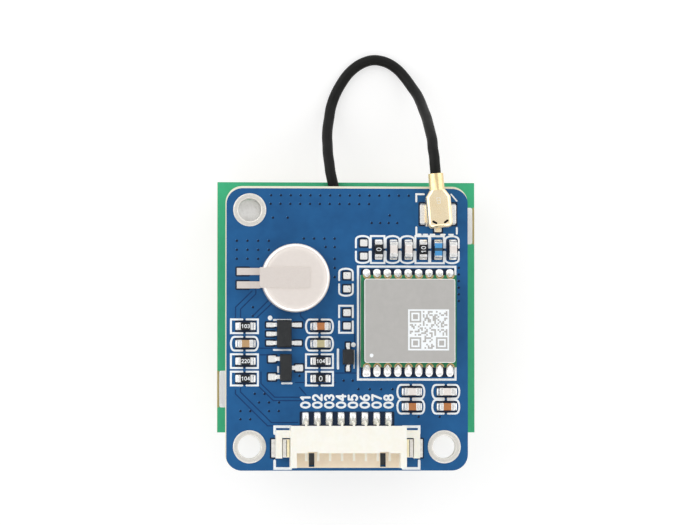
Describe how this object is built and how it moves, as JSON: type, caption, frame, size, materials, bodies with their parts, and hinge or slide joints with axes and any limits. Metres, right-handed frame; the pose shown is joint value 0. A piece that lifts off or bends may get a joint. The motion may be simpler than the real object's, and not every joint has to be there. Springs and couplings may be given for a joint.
{
  "type": "gps module",
  "caption": "Satellite positioning module: a blue circuit board with shielded receiver, coin cell and side-entry header, backed by a ceramic patch antenna on a short coaxial lead.",
  "frame": {"origin": "on the surface the antenna face rests on, under the middle of the two boards together", "axes": "+X along the header's row of pins, +Y from the header towards the coaxial lead, +Z out of the main board's component side"},
  "size_m": [0.0274, 0.0446, 0.0134],
  "materials": {
    "board_blue": "blue solder mask",
    "tinned": "tinned copper",
    "solder": "bright solder",
    "receiver_green": "green solder mask",
    "shield_nickel": "matte nickel sheet",
    "chip_black": "moulded epoxy",
    "part_ceramic": "fired ceramic",
    "cell_steel": "matte nickel-plated steel",
    "tab_nickel": "bright nickel sheet",
    "insulator_white": "moulded insulator",
    "gold_plate": "gold plate",
    "cable_black": "black jacket",
    "housing_ivory": "ivory nylon",
    "resistor_black": "black glaze, tinned ends",
    "capacitor_white": "pale ceramic, tinned ends",
    "capacitor_orange": "orange-brown ceramic, tinned ends",
    "capacitor_tan": "grey-tan ceramic, tinned ends",
    "inductor_blue": "blue ceramic, tinned ends",
    "patch_ceramic": "fired microwave ceramic",
    "electrode_silver": "printed silver",
    "antenna_green": "green solder mask",
    "can_tin": "tin plate",
    "pad_foam": "foam adhesive"
  },
  "bodies": {
    "root": {"main_board": "board_blue", "hole_rings": "tinned", "solder_pads": "tinned", "receiver_board": "receiver_green", "receiver_joints": "solder", "receiver_shield": "shield_nickel", "receiver_chip": "chip_black", "receiver_oscillator": "part_ceramic", "receiver_filter": "part_ceramic", "backup_cell": "cell_steel", "cell_top_tab": "tab_nickel", "cell_bottom_tab": "tab_nickel", "socket_base": "insulator_white", "socket_shell": "gold_plate", "socket_pin": "gold_plate", "plug_shell": "gold_plate", "plug_insulator": "insulator_white", "plug_contact": "gold_plate", "coax_cable": "cable_black", "header_housing": "housing_ivory", "header_pins": "tinned", "header_nails": "tinned", "regulator_body": "chip_black", "regulator_leads": "tinned", "transistor_body": "chip_black", "transistor_leads": "tinned", "diode_body": "chip_black", "diode_leads": "tinned", "ceramic_patch": "patch_ceramic", "patch_electrode": "electrode_silver", "ground_electrode": "electrode_silver", "feed_pin": "solder", "antenna_board": "antenna_green", "edge_pads": "tinned", "antenna_can": "can_tin", "amplifier_chip": "chip_black", "amplifier_filter": "part_ceramic", "braid_joint": "solder", "adhesive_pad": "pad_foam", "left_resistor_1": "resistor_black", "left_capacitor": "capacitor_tan", "left_resistor_2": "resistor_black", "left_resistor_3": "resistor_black", "middle_capacitor_1": "capacitor_orange", "middle_capacitor_2": "capacitor_tan", "middle_resistor_1": "resistor_black", "middle_resistor_2": "resistor_black", "row_resistor_1": "resistor_black", "row_capacitor_1": "capacitor_white", "row_capacitor_2": "capacitor_white", "row_resistor_2": "resistor_black", "row_inductor": "inductor_blue", "row_capacitor_3": "capacitor_white", "corner_capacitor_1": "capacitor_white", "corner_capacitor_2": "capacitor_white", "corner_capacitor_3": "capacitor_orange", "corner_capacitor_4": "capacitor_orange"}
  },
  "joints": []
}
